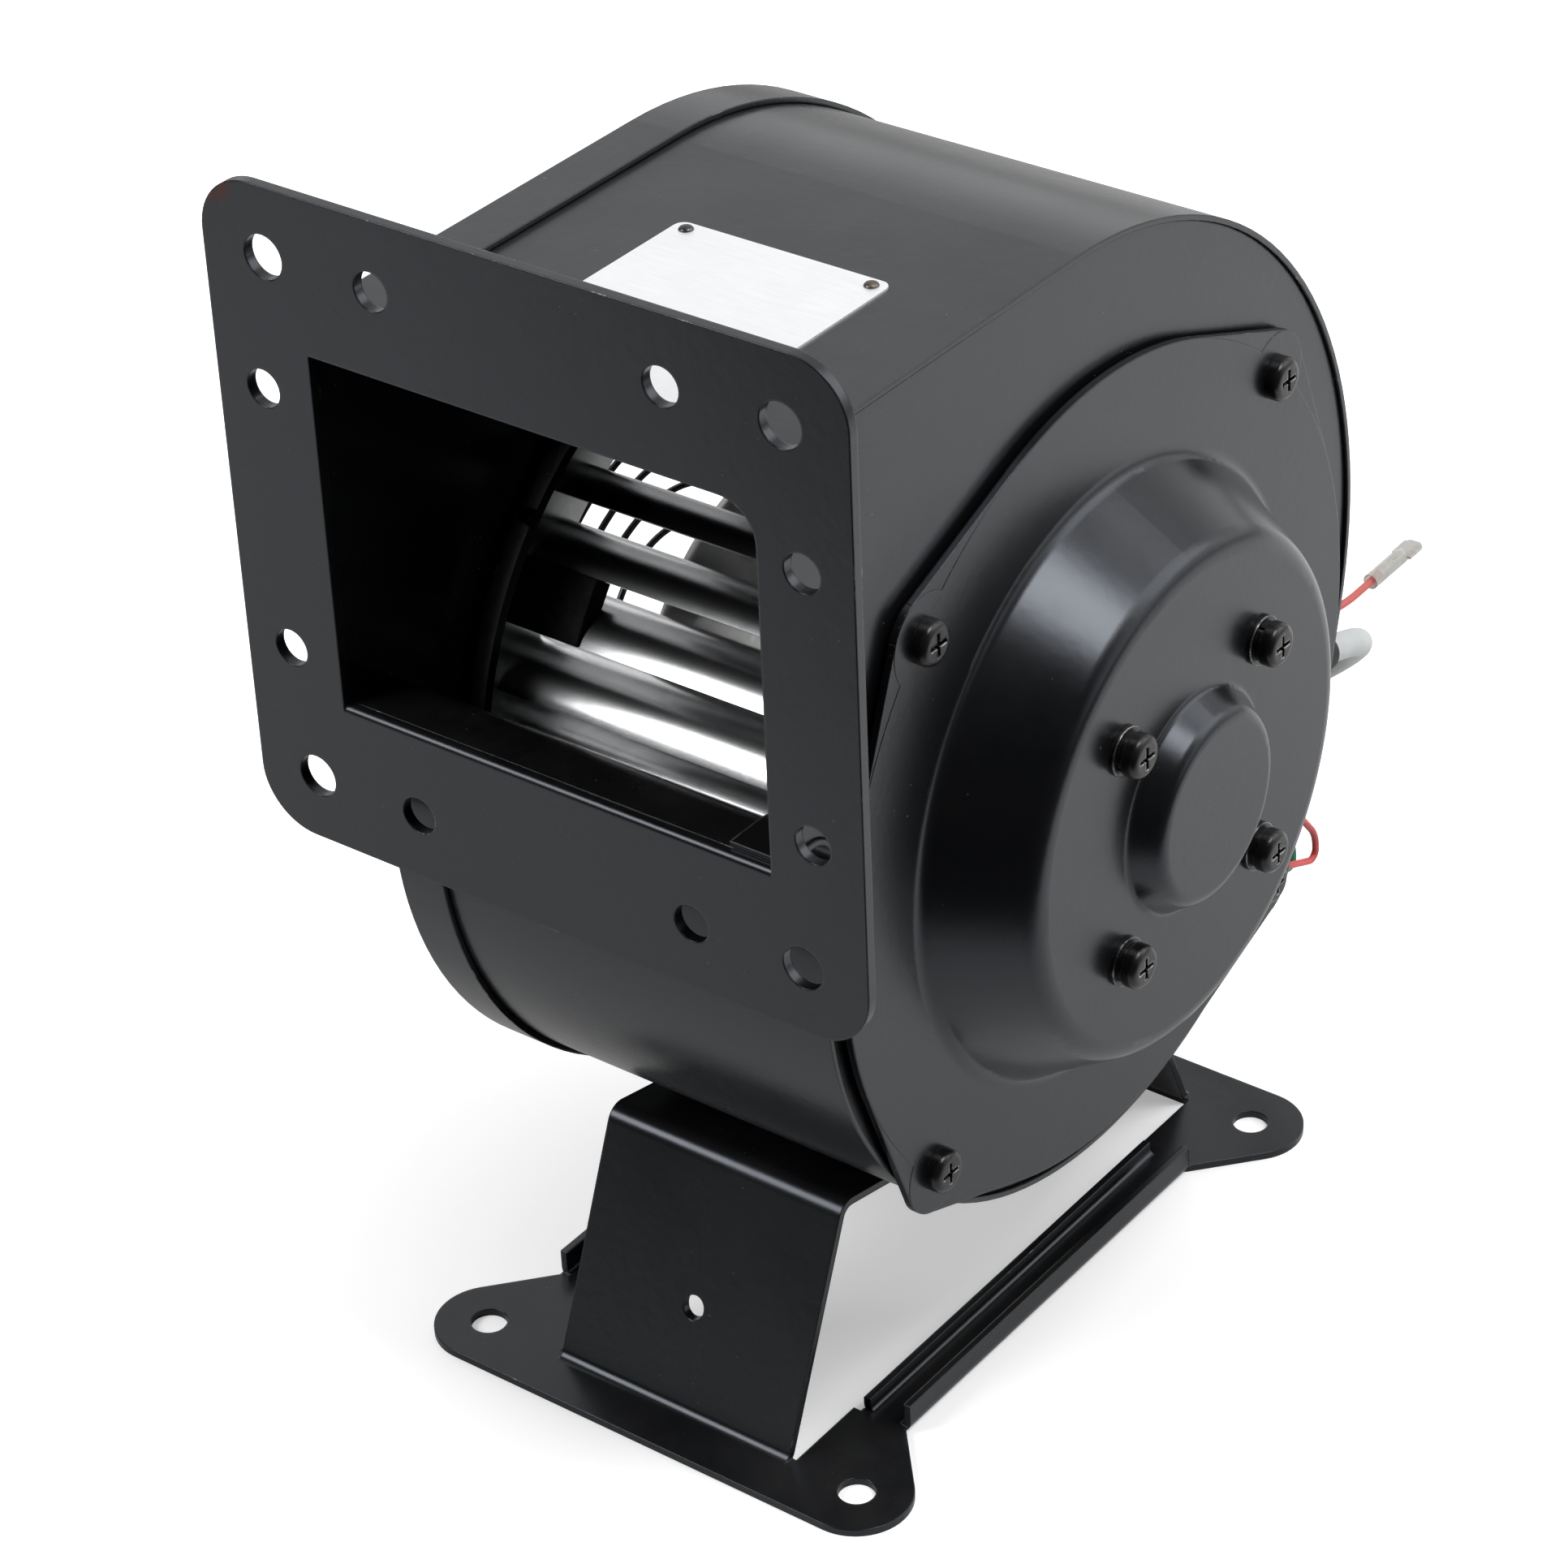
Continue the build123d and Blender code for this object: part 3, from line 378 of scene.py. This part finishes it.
def black_paint(name, base=colour(0.0036, 0.0038, 0.0044), gloss=0.22):
    """Semi-gloss stoved paint: orange peel, thin dust, fine specks, bare metal at worn edges."""
    m = Nodes(name)
    cloud = m.noise(22, 5, 0.6)
    fine = m.noise(1100, 3, 0.6)
    specks = m.span(m.cells(430), 0.075, 0.045)
    speck_place = m.span(m.noise(60, 3, 0.6), 0.55, 0.62)
    specks = m.math("MULTIPLY", specks, speck_place)
    upward = m.span(m.facing_up(), 0.1, 1.0)
    dust = m.math("MULTIPLY", upward, m.span(m.noise(38, 6, 0.7), 0.35, 0.75))
    dust = m.math("MULTIPLY", dust, 0.035)
    film = m.math("MULTIPLY", m.span(cloud, 0.3, 0.8), 0.006)
    dust = m.math("ADD", dust, film)
    dust = m.math("ADD", dust, m.math("MULTIPLY", specks, 0.3))
    paler = colour(*(1.5 * part for part in base[:3]))
    painted = m.mix(m.span(m.noise(9, 3), 0.35, 0.7), base, paler)
    dusted = m.mix(dust, painted, dust_colour)
    worn_place = m.span(m.noise(95, 5, 0.75), 0.60, 0.68)
    worn = m.math("MULTIPLY", m.edge(0.0005, 0.80, 0.93), worn_place)
    scrape_place = m.span(m.noise(310, 2, 0.5, m.stretched((1, 4, 1))), 0.80, 0.82)
    scraped = m.math("MULTIPLY", scrape_place, 0.7)
    bare = m.math("MAXIMUM", worn, scraped)
    from_corner = m.vector_math("DISTANCE", rust_spot)
    rust = m.span(m.noise(420, 5, 0.7), 0.42, 0.56)
    rust = m.math("MULTIPLY", m.span(from_corner, rust_out, rust_in), rust)
    dusted = m.mix(rust, dusted, rust_colour)
    m.set(Base_Color=m.mix(bare, dusted, bare_metal))
    m.set(Metallic=m.math("MULTIPLY", bare, 0.8))
    rough = m.blend(m.span(cloud, 0.3, 0.75), gloss, gloss + 0.09)
    rough = m.math("ADD", rough, m.math("MULTIPLY", dust, 0.8))
    rough = m.blend(rust, rough, 0.75)
    m.set(Roughness=m.blend(bare, rough, 0.42))
    m.shader.inputs["Specular IOR Level"].default_value = 0.5
    m.shader.inputs["Specular Tint"].default_value = (0.84, 0.90, 1.0, 1)
    peel = m.math("ADD", m.noise(420, 2, 0.5), m.math("MULTIPLY", fine, 0.25))
    m.bump(peel, 0.00006, 0.35)
    return m.material


def black_fastener(name):
    """Blackened screw steel: dull in the flats, bright where tools and handling have rubbed it."""
    m = Nodes(name)
    rubbed_place = m.span(m.noise(420, 4, 0.7), 0.38, 0.55)
    rubbed = m.math("MULTIPLY", m.edge(0.0006, 0.72, 0.92), rubbed_place)
    cloud = m.span(m.noise(160, 4), 0.35, 0.7)
    base = m.mix(cloud, colour(0.007, 0.007, 0.008), colour(0.018, 0.017, 0.017))
    m.set(Base_Color=m.mix(rubbed, base, colour(0.5, 0.49, 0.47)))
    m.set(Metallic=m.blend(rubbed, 0.35, 0.95))
    m.set(Roughness=m.span(m.noise(300, 4), 0.3, 0.7, 0.20, 0.34))
    m.bump(m.noise(1400, 3, 0.6), 0.00005, 0.4)
    return m.material


def galvanised(name):
    """Bright zinc coating: an even sheen with a faint spangle and a few dull handling marks."""
    m = Nodes(name)
    grey = m.make("ShaderNodeRGBToBW")
    m.link(m.cells(210, "Color"), grey.inputs[0])
    grain = m.noise(500, 3, 0.6)
    spangle = m.span(grey.outputs[0], 0.2, 0.8)
    tone = m.mix(spangle, colour(0.64, 0.65, 0.66), colour(0.70, 0.71, 0.72))
    dull = m.span(m.noise(40, 4, 0.6), 0.60, 0.85)
    tone = m.mix(m.math("MULTIPLY", dull, 0.15), tone, colour(0.42, 0.42, 0.41))
    m.set(Base_Color=tone, Metallic=1.0)
    rough = m.span(m.noise(30, 2, 0.5), 0.3, 0.7, 0.23, 0.27)
    m.set(Roughness=m.math("ADD", rough, m.math("MULTIPLY", dull, 0.04)))
    m.bump(grain, 0.00001, 0.15)
    return m.material


def turned_steel(name, base=colour(0.62, 0.61, 0.59), rough=0.24):
    """Bright steel with fine tool marks round the shaft's axis and slight brown staining."""
    m = Nodes(name)
    rings = m.noise(900, 3, 0.5, m.stretched((4, 0.25, 0.25)))
    stain = m.span(m.noise(130, 5, 0.7), 0.55, 0.72)
    tone = m.mix(m.math("MULTIPLY", stain, 0.5), base, colour(0.30, 0.23, 0.17))
    m.set(Base_Color=tone, Metallic=1.0)
    marks = m.span(rings, 0.3, 0.7, rough, rough + 0.14)
    m.set(Roughness=m.math("ADD", marks, m.math("MULTIPLY", stain, 0.2)))
    m.bump(rings, 0.00004, 0.5)
    return m.material


def cast_aluminium(name):
    """Dull cast metal: a sandy grain with darker clouds."""
    m = Nodes(name)
    grain = m.noise(700, 5, 0.7)
    cloud = m.span(m.noise(90, 4), 0.4, 0.7)
    tone = m.mix(cloud, colour(0.6, 0.6, 0.6), colour(0.45, 0.45, 0.45))
    m.set(Base_Color=tone, Metallic=1.0)
    m.set(Roughness=m.span(grain, 0.3, 0.7, 0.42, 0.6))
    m.bump(grain, 0.00012, 0.6)
    return m.material


def copper_winding(name):
    """Enamelled wire laid round the coil, darker between the turns."""
    m = Nodes(name)
    strands = m.make("ShaderNodeTexWave", wave_type="RINGS", rings_direction="X")
    m.link(m.place, strands.inputs["Vector"])
    strands.inputs["Scale"].default_value = 320
    strands.inputs["Distortion"].default_value = 1.5
    wire = strands.outputs["Fac"]
    tone = m.mix(wire, colour(0.18, 0.055, 0.02), colour(0.62, 0.26, 0.1))
    m.set(Base_Color=tone, Metallic=0.85)
    m.set(Roughness=m.span(m.noise(240, 3), 0.3, 0.7, 0.25, 0.45))
    m.bump(wire, 0.0003, 0.8)
    return m.material


def bare_plate(name):
    """Satin aluminium plate: a brushed grain, smudges and a few fine scratches."""
    m = Nodes(name)
    grain = m.noise(240, 4, 0.6, m.stretched((0.6, 14, 1)))
    smudge = m.span(m.noise(70, 5, 0.65), 0.4, 0.75)
    scratch = m.span(m.noise(190, 2, 0.5, m.stretched((1.3, 0.22, 1))), 0.70, 0.73)
    tone = m.mix(m.span(grain, 0.3, 0.7), colour(0.88, 0.89, 0.90), colour(0.95, 0.96, 0.97))
    tone = m.mix(m.math("MULTIPLY", smudge, 0.12), tone, colour(0.60, 0.60, 0.60))
    tone = m.mix(m.math("MULTIPLY", scratch, 0.5), tone, colour(0.9, 0.9, 0.9))
    m.set(Base_Color=tone, Metallic=0.75)
    brushed = m.span(grain, 0.3, 0.7, 0.34, 0.46)
    m.set(Roughness=m.math("ADD", brushed, m.math("MULTIPLY", smudge, 0.1)))
    m.bump(grain, 0.00003, 0.4)
    return m.material


def moulded(name, base, rough=0.42, bump=0.00008, grain=650, spec=0.5):
    """Moulded plastic or rubber: a fine grain, a cloudy sheen and paler rubbed edges."""
    m = Nodes(name)
    cloud = m.noise(70, 4, 0.6)
    rubbed = m.math("MULTIPLY", m.edge(0.0006, 0.75, 0.93), 0.5)
    light = colour(*(min(1, part * 1.35 + 0.012) for part in base[:3]))
    shade = colour(*(part * 0.82 for part in base[:3]))
    tone = m.mix(m.span(cloud, 0.35, 0.7), base, shade)
    dust_place = m.span(m.noise(300, 5, 0.7), 0.45, 0.75)
    dust = m.math("MULTIPLY", m.span(m.facing_up(), 0.2, 1), dust_place)
    tone = m.mix(m.math("MULTIPLY", dust, 0.12), tone, colour(0.42, 0.41, 0.39))
    m.set(Base_Color=m.mix(rubbed, tone, light))
    m.set(Roughness=m.span(cloud, 0.3, 0.7, rough, rough + 0.12))
    m.shader.inputs["Specular IOR Level"].default_value = spec
    m.bump(m.noise(grain, 4, 0.6), bump, 0.6)
    return m.material


def lead_insulation(name, inner, outer):
    """Thin insulated leads, each of its own colour, told apart by their place along the shaft."""
    inner_x, outer_x = 0.0395, 0.0397
    m = Nodes(name)
    cloud = m.noise(120, 4, 0.6)
    tone = m.mix(m.span(m.coordinate("X"), inner_x, outer_x), inner, outer)
    smudge = m.span(cloud, 0.35, 0.75, 0.0, 0.35)
    m.set(Base_Color=m.mix(smudge, tone, colour(0.03, 0.03, 0.03)))
    m.set(Roughness=m.span(cloud, 0.3, 0.7, 0.32, 0.46))
    m.bump(m.noise(900, 3, 0.6), 0.00003, 0.5)
    return m.material


def clear_sleeve(name):
    """Soft clear sleeving: slightly milky, with a faint yellow cast and drawn lines along it."""
    m = Nodes(name)
    lines = m.noise(500, 3, 0.5)
    tone = m.mix(m.span(lines, 0.35, 0.65), colour(0.92, 0.91, 0.88), colour(0.82, 0.81, 0.77))
    m.set(Base_Color=tone)
    m.set(Roughness=m.span(lines, 0.3, 0.7, 0.12, 0.26))
    m.shader.inputs["Transmission Weight"].default_value = 0.75
    m.shader.inputs["IOR"].default_value = 1.45
    m.bump(lines, 0.00005, 0.4)
    return m.material


finishes = {
    "black_paint": black_paint("black_paint"),
    "black_fastener": black_fastener("black_fastener"),
    "galvanised_steel": galvanised("galvanised_steel"),
    "bright_steel": turned_steel("bright_steel"),
    "cast_aluminium": cast_aluminium("cast_aluminium"),
    "copper_wire": copper_winding("copper_wire"),
    "motor_shell": turned_steel("motor_shell", colour(0.50, 0.50, 0.49), 0.32),
    "dark_clip": moulded("dark_clip", colour(0.010, 0.010, 0.011), 0.5, spec=0.25),
    "bare_plate": bare_plate("bare_plate"),
    "rivet_steel": turned_steel("rivet_steel", colour(0.09, 0.09, 0.09), 0.28),
    "black_plastic": moulded("black_plastic", colour(0.02, 0.02, 0.021), 0.36),
    "black_rubber": moulded("black_rubber", colour(0.014, 0.014, 0.014), 0.62, spec=0.3),
    "grey_sheath": moulded("grey_sheath", colour(0.50, 0.52, 0.52), 0.42, 0.00004, 380),
    "red_insulation": moulded("red_insulation", colour(0.62, 0.12, 0.11), 0.38, 0.00003),
    "clear_sleeve": clear_sleeve("clear_sleeve"),
    "green_insulation": lead_insulation(
        "lead_insulation", colour(0.03, 0.26, 0.15), colour(0.62, 0.06, 0.06)
    ),
}

# every carried-over node gets its finish, and so do the scene's own pieces
replaced = ("supply_cable", "rating_plate", "rating_plate_rivets")
for part in frame["record"]["subparts"]:
    if part["node"] in replaced:
        continue
    mesh = nodes[part["node"]].data
    mesh.materials.clear()
    mesh.materials.append(finishes[part["material_slot"]])
cable.data.materials.append(finishes["grey_sheath"])
mount_plate_webs.data.materials.append(finishes["black_paint"])
label.data.materials.append(finishes["bare_plate"])
rivet_heads.data.materials.append(finishes["rivet_steel"])

# floor
half = 6
corners = [(-half, -half, 0), (half, -half, 0), (half, half, 0), (-half, half, 0)]
floor_mesh = bpy.data.meshes.new("floor")
floor_mesh.from_pydata(corners, [], [(0, 1, 2, 3)])
floor = bpy.data.objects.new("floor", floor_mesh)
scene.collection.objects.link(floor)
viewer_way = (0.616, -0.788, 0)
back_way = (0.80, 0.60, 0)


def floor_material():
    """A white floor that glows to the eye, so that the shadow on it stays light.

    In reflections it is painted dark in front of the fan, on the viewer's side, and glows behind
    the fan as a painted pool of light.
    """
    m = Nodes("floor")
    seen = m.make("ShaderNodeLightPath").outputs["Is Camera Ray"]
    # painted shade: 1 behind the fan and 0 in front of it, on the viewer's side, where the floor
    # is painted dark in reflections
    reflection_shade_mask = m.span(m.vector_math("DOT_PRODUCT", viewer_way), 0.18, 0.27, 1.0, 0.0)
    painted_reflection_tone = m.mix(reflection_shade_mask, colour(0.03, 0.03, 0.03), colour(0.66, 0.66, 0.66))
    tone = m.mix(m.noise(3, 3), colour(0.82, 0.82, 0.82), colour(0.85, 0.85, 0.85))
    m.set(Base_Color=m.mix(seen, painted_reflection_tone, tone))
    m.shader.inputs["Roughness"].default_value = 0.7
    m.shader.inputs["Specular IOR Level"].default_value = 0.2
    m.shader.inputs["Emission Color"].default_value = (1, 1, 1, 1)
    # painted light: to the eye the floor glows, least near the fan, so that the fan's shadow stays
    # light
    reach = m.vector_math("LENGTH")
    near = m.span(reach, 0.06, 0.22, 0.34, 0.80)
    far = m.span(reach, 0.22, 0.80, 0.0, 0.5)
    # painted light: in reflections the floor glows more towards the back, a pool of light that no
    # lamp casts
    painted_light_behind = m.span(m.vector_math("DOT_PRODUCT", back_way), 0.05, 0.28, 0.06, 0.52)
    painted_reflection_glow = m.math("MULTIPLY", reflection_shade_mask, painted_light_behind)
    m.set(Emission_Strength=m.blend(seen, painted_reflection_glow, m.math("ADD", near, far)))
    return m.material


floor_mesh.materials.append(floor_material())

# the room: white above the horizon behind the fan, dark on the viewer's side
world = bpy.data.worlds.new("studio")
scene.world = world
world.use_nodes = True
tree = world.node_tree
room = tree.nodes["Background"]
room.inputs["Color"].default_value = (1, 1, 1, 1)
direction = tree.nodes.new("ShaderNodeSeparateXYZ")
tree.links.new(tree.nodes.new("ShaderNodeTexCoord").outputs["Generated"], direction.inputs[0])


def ramp(source, low, high, to_low, to_high):
    """A soft step of the source between two values."""
    node = tree.nodes.new("ShaderNodeMapRange")
    node.interpolation_type = "SMOOTHSTEP"
    tree.links.new(source, node.inputs["Value"])
    node.inputs["From Min"].default_value = low
    node.inputs["From Max"].default_value = high
    node.inputs["To Min"].default_value = to_low
    node.inputs["To Max"].default_value = to_high
    return node.outputs["Result"]


def product(first, second):
    node = tree.nodes.new("ShaderNodeMath")
    node.operation = "MULTIPLY"
    tree.links.new(first, node.inputs[0])
    tree.links.new(second, node.inputs[1])
    return node.outputs["Value"]


behind = ramp(direction.outputs["Y"], -0.25, 0.45, 0.0, 1.0)
above = ramp(direction.outputs["Z"], -0.02, 0.10, 0.0, 1.0)
walls = ramp(product(behind, above), 0, 1, 0.03, 1.0)
height = ramp(direction.outputs["Z"], 0.10, 0.60, 1.25, 0.80)
tree.links.new(product(walls, height), room.inputs["Strength"])
seen = tree.nodes.new("ShaderNodeBackground")
seen.inputs["Color"].default_value = (1, 1, 1, 1)
seen.inputs["Strength"].default_value = 1.0
path = tree.nodes.new("ShaderNodeLightPath")
choose = tree.nodes.new("ShaderNodeMixShader")
tree.links.new(path.outputs["Is Camera Ray"], choose.inputs["Fac"])
tree.links.new(room.outputs["Background"], choose.inputs[1])
tree.links.new(seen.outputs["Background"], choose.inputs[2])
tree.links.new(choose.outputs["Shader"], tree.nodes["World Output"].inputs["Surface"])


def lamp(name, place, target, side, power):
    """A square soft light that faces the target and isn't seen itself."""
    data = bpy.data.lights.new(name, "AREA")
    data.shape = "RECTANGLE"
    data.size = data.size_y = side
    data.energy = power
    item = bpy.data.objects.new(name, data)
    item.location = place
    item.rotation_euler = (Vector(place) - Vector(target)).to_track_quat("Z", "Y").to_euler()
    item.visible_camera = False
    scene.collection.objects.link(item)


lamp("key", place=(0.85, 0.85, 1.0), target=(0.05, 0.05, 0.05), side=0.9, power=6)
lamp("overhead", place=(0.58, 0.04, 1.28), target=(0.05, 0, 0.1), side=0.48, power=8)
lamp("outlet", place=(-0.62, -0.78, 0.90), target=(0.0, -0.05, 0.17), side=0.6, power=9)

scene.view_settings.view_transform = "Standard"
